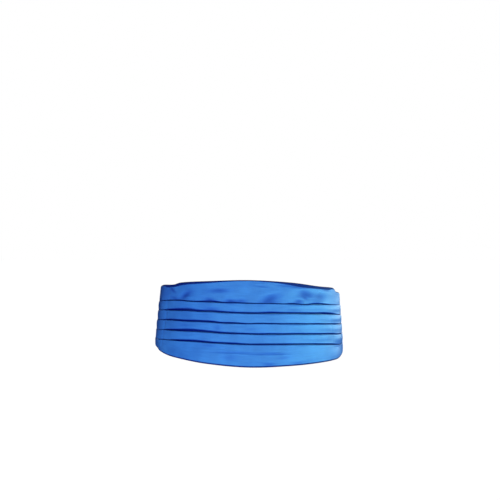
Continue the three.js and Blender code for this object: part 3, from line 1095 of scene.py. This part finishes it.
@dataclass
class NarrowPleats:
    """The four narrow pleats: each dives behind the next fold and ends in its own rolled fold."""

    front: Front
    finishes: Finishes
    apart: float = 1.1
    swell: float = 0.55
    swell_end: float = 0.35

    def ring(self, number: int, along: np.ndarray) -> ClosedStrip:
        """Work out one pleat's rings.

        The face starts deep behind the next fold, stays deep for a little over it, then swings out by a
        smooth step as tall as the mouth, and swells slightly up to its own rolled fold. Behind, it goes
        back down into the pocket and on to the ground cloth.

        Args:
            number: the pleat, with 0 the highest.
            along: a column of lengths.

        Returns:
            The rings.
        """
        front = self.front
        fold = front.fold(number, along)
        mouth = front.mouth(number + 1, along)
        up_face = joined(mouth.rows(), spread(mouth.clear, fold - front.roll, 16, last=True))
        swing = mouth.swing(up_face)
        whole = fold - self.swell_end * front.local_pitch(along)
        swell = self.swell * smooth_step(mouth.fold + mouth.wide, whole, up_face)
        out_face = front.swung(along, front.face_out - self.swell, swing) + swell
        out_face = out_face + front.relief_under(fold, along, up_face) * swing
        roll_out, roll_up, roll_painted_shade = front.rolled_fold(along, fold)
        end_out = np.array([[front.pleat_in, front.pleat_in + 0.3]])
        up = joined(up_face, roll_up, mouth.tuck_end + 0.2, mouth.tuck_end - 0.1)
        # Painted shade in the mouth over the next fold, round the roll's far side and down the pocket, in
        # the dents and at the left bend.
        pocket = joined(mouth.pocket(up_face), roll_painted_shade, np.ones_like(end_out))
        return ClosedStrip(
            along,
            joined(out_face, roll_out, end_out),
            up,
            pocket=np.maximum(pocket, front.shade(along, up)),
            dull=front.painted_shade_and_dullness(along, up),
        )

    def build(self) -> None:
        reach = self.front.pleat_reach
        along = stations(reach, self.apart)
        for number in range(self.front.narrow_pleats):
            strip = self.ring(number, along)
            names = f"narrow_pleat_{number + 1}", f"pleat_{number + 1}"
            make_cloth(self.front, strip, *names, 2 * reach * MM, self.finishes.satin)


@dataclass
class LowerBand:
    """The lowest fold, a wide band whose bottom edge is turned in under the ground cloth."""

    front: Front
    finishes: Finishes
    apart: float = 1.1
    edge: float = 1.5
    edge_in: float = 3.3
    belly: float = 0.5
    lip: float = 1.8

    def ring(self, along: np.ndarray) -> ClosedStrip:
        """Work out the band's rings.

        The face runs straight down from a half round roll, swells slightly in the middle, and rounds in
        at the bottom edge by a quarter of an ellipse to the turned-in lip.

        Args:
            along: a column of lengths.

        Returns:
            The rings.
        """
        front = self.front
        fold = front.fold(front.narrow_pleats, along)
        bottom = front.bottom(along)
        face = front.face_out - self.belly
        angle = np.linspace(-0.5 * math.pi, 0, 9)[None, :-1]
        edge_up = bottom + self.edge * (1 + np.sin(angle))
        edge_out = self.edge_in + (face - self.edge_in) * np.cos(angle)
        edge_out = edge_out + front.relief(along, edge_up) * np.cos(angle) * 0.8
        up_face = joined(
            spread(bottom + self.edge, bottom + 2.5, 3),
            spread(bottom + 2.5, fold - front.roll, 44, last=True),
        )
        belly = self.belly * smooth_step(0.0, 0.35, (up_face - bottom) / (fold - bottom))
        out_face = face + belly + front.relief_under(fold, along, up_face)
        roll_out, roll_up, roll_painted_shade = front.rolled_fold(along, fold)
        end_out = np.array([[front.pleat_in, 0.0, 0.0, 0.7]])
        up = joined(edge_up, up_face, roll_up, bottom + self.lip, bottom + self.lip, bottom + 0.5, bottom)
        # Painted shade on the hidden roll and end, and along the bottom edge where it turns under; the
        # bottom edge also loses gloss.
        hidden = joined(0 * edge_up, 0 * up_face, roll_painted_shade, np.ones_like(end_out))
        pressed = 1 - smooth_step(bottom + 1.9, bottom + 2.7, up)
        return ClosedStrip(
            along,
            joined(edge_out, out_face, roll_out, end_out),
            up,
            pocket=np.maximum(np.maximum(pressed, hidden), front.shade(along, up)),
            dull=np.maximum(pressed, front.painted_shade_and_dullness(along, up)),
        )

    def build(self) -> None:
        reach = self.front.pleat_reach
        along = stations(reach, self.apart)
        names = "wide_lower_band", "lower_band"
        make_cloth(self.front, self.ring(along), *names, 2 * reach * MM, self.finishes.satin)


@dataclass
class GroundCloth:
    """The ground cloth: satin outside, where it shows as the upper band, and plain backing inside."""

    front: Front
    finishes: Finishes
    apart: float = 1.0
    crown: float = 1.5
    lip: float = 2.1
    puff: float = 0.3
    thinner: float = 0.7
    turning: float = 9.0
    fold_step: float = 0.3

    def ring(self, along: np.ndarray) -> ClosedStrip:
        """Work out the ground cloth's rings.

        The upper band swings out over the first fold as a pleat does, swells a little, and rounds over at
        the top edge by half an ellipse to the straight inner side, which goes down to the bottom edge. The
        satin turned in along both edges stands a small smooth step above the rest of the inner side.

        Args:
            along: a column of lengths.

        Returns:
            The rings, with lining 1 on the inner side.
        """
        front = self.front
        top = front.top(along)
        bottom = front.bottom(along)
        mouth = front.mouth(0, along)
        up_face = joined(
            mouth.rows(),
            spread(mouth.clear, top - 5.5, 34),
            spread(top - 5.5, top - self.crown, 14, last=True),
        )
        swing = mouth.swing(up_face)
        swell = self.puff * np.sin(np.clip((up_face - mouth.fold) / (top - mouth.fold), 0, 1) * math.pi)
        relief = front.relief(along, up_face) * smooth_step(top - 0.3, top - 2.6, up_face)
        shoulder = front.face_out - self.thinner
        out_face = front.swung(along, shoulder, swing) + (swell + relief) * swing
        angle = np.linspace(0, math.pi, 15)[None, 1:]
        crown_out = shoulder / 2 * (1 + np.cos(angle))
        crown_up = top - self.crown + self.crown * np.sin(angle)
        high = top - self.turning
        low = bottom + self.turning
        inner_up = joined(
            spread(top - self.crown, high + 0.2, 4, last=True)[:, 1:],
            high - 0.2,
            spread(high - 0.4, low + 0.4, 22, last=True),
            low + 0.2,
            spread(low - 0.2, bottom + self.lip, 3, last=True),
        )
        inside = np.minimum(
            smooth_step(high + 0.2, high - 0.2, inner_up), smooth_step(low - 0.2, low + 0.2, inner_up)
        )
        outer_up = spread(bottom + self.lip, mouth.tuck_end - 0.5, 20, last=True)
        # Painted shade along the top edge, in the mouth over the first fold, in the dents and at the left
        # bend; the top edge, the dents and the left bend also lose gloss.
        shaded = top - front.edge_shade(along)
        pressed = smooth_step(shaded - 0.5, shaded + 0.5, up_face)
        deep = np.maximum(np.maximum(mouth.pocket(up_face), pressed), front.shade(along, up_face))
        # Painted shade over the crown's front half, fading out down its back.
        crown = 1 - smooth_step(*ROLL_SHADE, angle)
        inner, outer = np.zeros_like(inner_up), np.ones_like(outer_up)
        return ClosedStrip(
            along,
            joined(out_face, crown_out, self.fold_step * inside, front.panel_wall * outer),
            joined(up_face, crown_up, inner_up, outer_up),
            pocket=joined(deep, crown, inner, outer),
            dull=joined(np.maximum(pressed, front.painted_shade_and_dullness(along, up_face)), crown, inner, 0 * outer),
            lining=joined(0 * up_face, 0 * angle, inside, 0 * outer),
        )

    def build(self) -> None:
        reach = self.front.half_length - 0.6
        along = stations(reach, self.apart)
        strip = self.ring(along)
        names = "upper_band_and_ground", "panel"
        dressing = self.finishes.satin, self.finishes.reverse
        piece = make_cloth(self.front, strip, *names, 2 * reach * MM, *dressing)
        both = (strip.lining + np.roll(strip.lining, -1, axis=1))[:-1] > 1.5
        choice = np.concatenate((both.reshape(-1), [False, False])).astype(np.int32)
        piece.data.polygons.foreach_set("material_index", choice)


@dataclass
class EndHems:
    """The satin turned over each end of the front, a flat tube round the stack of pleats."""

    front: Front
    finishes: Finishes
    over: float = 0.7
    corner: float = 1.6
    proud: float = 0.2
    squareness: float = 5.0
    puff: float = 0.07
    puff_apart: float = 3.4

    def ring(self, side: Side) -> ClosedStrip:
        """Work out one hem's rings, which run from the bottom edge to the top edge.

        Each ring is a rounded rectangle of along and out, |a|^n + |b|^n = 1 with n = 5, and shrinks
        towards both ends by a quarter circle.

        Args:
            side: the end.

        Returns:
            The rings.
        """
        front = self.front
        end = front.half_length
        middle = side.value * (end - front.end_hem / 2 - front.hem_inside)
        here = np.array([[middle]])
        low = float(front.bottom(here)[0, 0]) - self.proud
        high = float(front.top(here)[0, 0]) + self.proud
        up = np.concatenate(
            (
                low + self.corner * (1 - np.cos(np.linspace(0, math.pi / 2, 7)))[:-1],
                np.linspace(low + self.corner, high - self.corner, 60),
                high - self.corner * (1 - np.cos(np.linspace(math.pi / 2, 0, 7)))[1:],
            )
        )[:, None]
        from_end = np.minimum(up - low, high - up)
        close = np.sqrt(np.clip(1 - (1 - np.clip(from_end / self.corner, 0, 1)) ** 2, 0.02, 1))
        turn = np.linspace(0, 2 * math.pi, 48, endpoint=False)[None, :]
        power = 2 / self.squareness
        flat = np.sign(np.cos(turn)) * np.abs(np.cos(turn)) ** power
        thick = np.sign(np.sin(turn)) * np.abs(np.sin(turn)) ** power
        half_thick = (front.face_out + self.over) / 2
        shrink = self.corner * (1 - close)
        puff = self.puff * np.cos(up * 2 * math.pi / self.puff_apart) * (thick > 0)
        along = middle + side.value * (front.end_hem / 2 + front.hem_inside - shrink) * flat
        out = half_thick + (half_thick - shrink) * thick + puff * (np.abs(flat) < 0.9)
        return ClosedStrip(along, out, up + 0 * turn, pocket=0 * along)

    def build(self) -> None:
        """Make and dress both hems."""
        for side in Side:
            strip = self.ring(side)
            tall = float(np.ptp(strip.up)) * MM
            name = f"end_hem_{side.name.lower()}"
            make_cloth(self.front, strip, name, "panel", tall, self.finishes.satin)


@dataclass
class Straps:
    """The two straps: plain ribbon from inside the front's ends, looped round the clasp's bars."""

    front: Front
    finishes: Finishes
    width: float = 38.0
    wall: float = 1.5
    overlap: float = 22.0
    loop_return: float = 24.0
    loop_lean: float = 1.6
    gap: float = 0.3
    clasp_wall: float = 2.2
    slot_outer: float = 12.0
    clasp_half: float = 16.0
    apart: float = 0.3
    edge_power: float = 0.22
    face_power: float = 0.35
    rib_deep: float = 0.05
    rib_apart: float = 1.2
    thinner: float = 0.06

    def path(self) -> tuple[np.ndarray, np.ndarray]:
        """The strap's middle line as lengths from the centre back and distances out.

        It lies just inside the waist's surface, turns by a half circle round the clasp's bar, leans back to
        the strap and lies on it to where it is sewn.

        Returns:
            The two arrays.
        """
        lying = -self.gap - self.wall / 2
        centre = -2 * self.gap - self.wall - self.clasp_wall / 2
        radius = lying - centre
        start = self.front.back_span / 2 + self.overlap
        returned = centre - radius
        sewn = lying - self.wall - self.gap
        bar = self.clasp_half + self.gap
        lift = bar + self.loop_lean * (sewn - returned)
        turn = np.linspace(0, math.pi, 22)[1:]
        over = np.arange(start, self.slot_outer, -self.apart)
        under = np.arange(self.slot_outer + self.apart, bar, self.apart)
        leaning = np.arange(bar, lift, self.apart)
        resting = np.arange(lift, self.clasp_half + self.loop_return, self.apart)
        back = np.concatenate((over, self.slot_outer - radius * np.sin(turn), under, leaning, resting))
        out = np.concatenate(
            (
                np.full_like(over, lying),
                centre + radius * np.cos(turn),
                np.full_like(under, returned),
                np.interp(leaning, (bar, lift), (returned, sewn)),
                np.full_like(resting, sewn),
            )
        )
        return back, out

    def build(self) -> None:
        """Make and dress both straps."""
        back, out = self.path()
        ahead = np.stack((np.gradient(back), np.gradient(out)), axis=-1)
        ahead /= np.linalg.norm(ahead, axis=-1, keepdims=True)
        length = np.concatenate(([0], np.cumsum(np.hypot(np.diff(back), np.diff(out)))))
        turn = np.linspace(0, 2 * math.pi, 56, endpoint=False)[None, :]
        across = np.sign(np.cos(turn)) * np.abs(np.cos(turn)) ** self.edge_power
        thick = np.sign(np.sin(turn)) * np.abs(np.sin(turn)) ** self.face_power
        rib = 1 + self.rib_deep * np.cos(2 * math.pi * length / self.rib_apart)[:, None]
        away = thick * rib * (self.wall / 2 - self.thinner)
        half = self.front.waist.half_length()
        for side in Side:
            from_back = back[:, None] - ahead[:, 1:2] * away
            along = side.value * (half - from_back)
            distance = out[:, None] + ahead[:, 0:1] * away
            up = across * self.width / 2 + 0 * along
            strip = ClosedStrip(length[:, None], distance, up)
            piece = strip.build(f"ribbon_strap_{side.name.lower()}", self.front.place(along, distance, up))
            finish_piece(piece, Slot.STRAP, self.finishes.ribbon)
            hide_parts(f"strap_{side.name.lower()}")


@dataclass
class Clasp:
    """The clasp, as packed, with its edges eased."""

    finishes: Finishes
    ease: float = 0.35

    def build(self) -> None:
        """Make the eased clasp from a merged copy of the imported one."""
        source = next(thing for thing in bpy.data.objects if thing.name.startswith("clasp"))
        mesh = source.data.copy()
        mesh.name = "eased_clasp"
        piece = add_object("eased_clasp", mesh)
        mesh.materials.clear()
        weld = piece.modifiers.new("weld", "WELD")
        weld.merge_threshold = 0.01 * MM
        bevel = piece.modifiers.new("eased_edges", "BEVEL")
        bevel.width = self.ease * MM
        bevel.segments = 3
        bevel.limit_method = "ANGLE"
        bevel.angle_limit = math.radians(40)
        finish_piece(piece, Slot.CLASP, self.finishes.nickel)
        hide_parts("clasp")


@dataclass
class Stitching:
    """Rows of short lock stitches on the hems, the straps and the turned edges, each a small capsule."""

    front: Front
    finishes: Finishes
    straps: Straps
    apart: float = 3.2
    long: float = 2.3
    thread: float = 0.24
    sides: int = 6
    inset: float = 2.5
    edge: float = 7.6
    hem_inset: float = 2.0
    hem_aside: float = 1.6
    loop_rows: tuple[float, float] = (33.0, 36.5)
    box_rows: tuple[float, float] = (93.0, 107.5)

    def capsule(self) -> tuple[np.ndarray, np.ndarray]:
        """Work out a capsule along x as rings of a few sides, each ring at its own share of the radius.

        Returns:
            Its points, for a half length and a radius of 1, and its quads.
        """
        rings = np.array([[-1.0, 0.15], [-0.8, 0.8], [0.0, 1.0], [0.8, 0.8], [1.0, 0.15]])
        turn = np.linspace(0, 2 * math.pi, self.sides, endpoint=False)
        x = np.repeat(rings[:, 0], self.sides)
        y = (rings[:, 1:2] * np.cos(turn)).ravel()
        z = (rings[:, 1:2] * np.sin(turn)).ravel()
        ring = np.arange(len(rings) - 1)[:, None] * self.sides
        column = np.arange(self.sides)[None, :]
        beside = (column + 1) % self.sides
        quads = np.stack(
            (ring + column, ring + self.sides + column, ring + self.sides + beside, ring + beside), axis=-1
        )
        return np.stack((x, y, z), axis=-1), quads.reshape(-1, 4)

    def row(self, start: tuple[float, float], end: tuple[float, float], out: float) -> np.ndarray:
        """Set out a straight row of stitches.

        Args:
            start: its first along and up.
            end: its last along and up.
            out: the distance out of the cloth that it lies on.

        Returns:
            For each stitch its middle's along, up and out, and its direction's along and up.
        """
        reach = math.dist(start, end)
        share = (np.arange(int(reach / self.apart)) + 0.5) * self.apart / reach
        along = start[0] + (end[0] - start[0]) * share
        up = start[1] + (end[1] - start[1]) * share
        ahead = ((end[0] - start[0]) / reach, (end[1] - start[1]) / reach)
        level = np.full_like(share, out)
        return np.stack((along, up, level, ahead[0] + 0 * share, ahead[1] + 0 * share), axis=-1)

    def edge_row(self, side_up: float, top: bool) -> np.ndarray:
        """Set out the row that holds the satin turned in along an edge.

        Args:
            side_up: how far from the edge it runs.
            top: whether the edge is the top one.

        Returns:
            The stitches, as for a straight row.
        """
        reach = self.front.half_length - self.front.end_hem
        along = np.arange(-reach, reach, self.apart)
        edge = self.front.top(along) - side_up if top else self.front.bottom(along) + side_up
        slope = np.gradient(edge, along)
        long = np.hypot(1, slope)
        return np.stack((along, edge, np.full_like(along, -0.05), 1 / long, slope / long), axis=-1)

    def build(self) -> None:
        """Make every row as one joined piece."""
        front = self.front
        half = front.waist.half_length()
        cross = self.straps.width / 2 - self.inset
        surface = front.face_out + 0.7 / front.pressed + 0.1
        outer = 0.1 - self.straps.gap
        inner = outer - self.straps.wall - 0.2
        rows = [self.edge_row(self.edge, top=True), self.edge_row(self.edge, top=False)]
        for side in Side:
            end = side.value * (front.half_length - front.end_hem * 0.5)
            here = np.array([end])
            low = float(front.bottom(here)[0]) + self.hem_inset
            high = float(front.top(here)[0]) - self.hem_inset
            beside = end - side.value * self.hem_aside
            rows.append(self.row((beside, low), (beside, high), surface))
            for backs, out in ((self.loop_rows, outer), (self.box_rows, inner)):
                for back in backs:
                    there = side.value * (half - back)
                    rows.append(self.row((there, -cross), (there, cross), out))
            near, far = (side.value * (half - back) for back in self.box_rows)
            rows += [self.row((near, up), (far, up), inner) for up in (-cross, cross)]
        stitches = np.concatenate(rows)
        base, quads = self.capsule()
        middle = stitches[:, None, :3]
        ahead = stitches[:, None, 3:]
        forward = base[None, :, 0] * self.long / 2
        aside = base[None, :, 1] * self.thread
        along = middle[..., 0] + ahead[..., 0] * forward - ahead[..., 1] * aside
        up = middle[..., 1] + ahead[..., 1] * forward + ahead[..., 0] * aside
        out = middle[..., 2] + base[None, :, 2] * self.thread
        points = front.place(along, out, up).reshape(-1, 3)
        faces = (quads[None] + (np.arange(len(stitches)) * len(base))[:, None, None]).reshape(-1, 4)
        mesh = bpy.data.meshes.new("lock_stitches")
        mesh.from_pydata(points.tolist(), [], faces.tolist())
        piece = add_object("lock_stitches", mesh)
        finish_piece(piece, Slot.SATIN, self.finishes.thread)


@dataclass(frozen=True)
class Studio:
    """The camera, lights, floor and surround."""

    distance: float = 2.6
    eye_height: float = 0.111
    eye_side: float = 0.0011
    lens: float = 118.5
    floor_level: float = -1.0
    floor_reach: float = 160.0
    floor_sun: float = 3.56
    surround_dim: float = 0.075

    def camera(self) -> None:
        """A level camera straight in front."""
        data = bpy.data.cameras.new("camera")
        data.lens = self.lens
        data.sensor_width = 36.0
        data.sensor_fit = "HORIZONTAL"
        data.clip_end = 1000.0
        camera = add_object("camera", data)
        camera.location = (self.eye_side, -self.distance, self.eye_height)
        camera.rotation_euler = (math.radians(90), 0.0, 0.0)
        bpy.context.scene.camera = camera

    def softbox(
        self,
        name: str,
        bearing: float,
        rise: float,
        far: float,
        size: tuple[float, float],
        power: float,
        shine: bool = True,
        tint: str = "FFFFFF",
    ) -> None:
        """An area light that faces the origin.

        Args:
            name: its name.
            bearing: degrees to the right of the camera.
            rise: degrees above level.
            far: its distance in metres.
            size: its width and height in metres.
            power: watts.
            shine: whether gloss shows it.
            tint: its colour.
        """
        data = bpy.data.lights.new(name, "AREA")
        data.shape = "RECTANGLE"
        data.size, data.size_y = size
        data.energy = power
        data.color = linear_colour(tint)[:3]
        light = add_object(name, data)
        flat = far * math.cos(math.radians(rise))
        x = flat * math.sin(math.radians(bearing))
        y = -flat * math.cos(math.radians(bearing))
        z = far * math.sin(math.radians(rise))
        light.location = (x, y, z)
        light.rotation_euler = (math.radians(90 - rise), 0.0, math.radians(bearing))
        light.visible_glossy = shine

    def surround(self) -> None:
        """A white surround to the eye that gives only a dim even light."""
        world = bpy.data.worlds.new("surround")
        world.use_nodes = True
        tree = world.node_tree
        tree.nodes.clear()
        dim, seen = (
            add_node(tree, "ShaderNodeBackground", {"Color": colour, "Strength": strength})
            for colour, strength in (
                ((0.97, 0.98, 1.0, 1.0), self.surround_dim), ((1.0, 1.0, 1.0, 1.0), 1.0)
            )
        )
        path = add_node(tree, "ShaderNodeLightPath")
        both = add_node(
            tree, "ShaderNodeMixShader",
            {0: path.outputs["Is Camera Ray"], 1: dim.outputs[0], 2: seen.outputs[0]},
        )
        add_node(tree, "ShaderNodeOutputWorld", {"Surface": both.outputs[0]})
        bpy.context.scene.world = world

    def floor(self) -> None:
        """A wide pale floor of matt paint, lit evenly by a sun that reaches nothing else."""
        reach = self.floor_reach
        level = self.floor_level
        mesh = bpy.data.meshes.new("pale_floor")
        around = ((-reach, -reach), (reach, -reach), (reach, reach), (-reach, reach))
        corners = [(*corner, level) for corner in around]
        mesh.from_pydata(corners, [], [(0, 1, 2, 3)])
        floor = add_object("pale_floor", mesh)
        mesh.materials.append(MattPaint().material())
        floor.visible_diffuse = False
        floor.visible_glossy = False
        lit = bpy.data.collections.new("floor_only")
        lit.objects.link(floor)
        data = bpy.data.lights.new("floor_sun", "SUN")
        data.energy = self.floor_sun
        data.angle = math.radians(30)
        sun = add_object("floor_sun", data)
        sun.light_linking.receiver_collection = lit

    def build(self) -> None:
        """Make the camera, the lights, the floor and the surround."""
        self.camera()
        self.softbox("key", bearing=-15, rise=0, far=2.6, size=(0.6, 0.8), power=30, shine=False)
        self.softbox("left_low", bearing=-36, rise=-22, far=1.4, size=(0.6, 0.4), power=7.6, shine=False)
        self.softbox("front", bearing=-14, rise=0, far=2.6, size=(2.2, 1.6), power=9)
        self.softbox("right_front", bearing=24, rise=-2, far=2.6, size=(1.4, 1.0), power=9)
        self.softbox("right_near", bearing=62, rise=0, far=2.4, size=(2.2, 1.0), power=28, tint="E4F8FF")
        self.softbox("right_far", bearing=115, rise=8, far=2.4, size=(3.0, 0.8), power=38, tint="E4F8FF")
        self.softbox("back", bearing=178, rise=12, far=2.6, size=(1.8, 1.0), power=34)
        self.surround()
        self.floor()
        bpy.context.scene.view_settings.view_transform = "Standard"


def main() -> None:
    """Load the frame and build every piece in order."""
    logging.basicConfig(level=logging.INFO, format="%(name)s: %(message)s")
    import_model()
    Studio().build()
    front = Front()
    finishes = Finishes(
        satin=PolyesterSatin().material(),
        reverse=SatinReverse().material(),
        ribbon=WovenRibbon().material(),
        nickel=NickelPlate().material(),
        thread=SpunThread().material(),
    )
    GroundCloth(front, finishes).build()
    NarrowPleats(front, finishes).build()
    LowerBand(front, finishes).build()
    EndHems(front, finishes).build()
    straps = Straps(front, finishes)
    straps.build()
    Clasp(finishes).build()
    Stitching(front, finishes, straps).build()


if __name__ == "__main__":
    main()
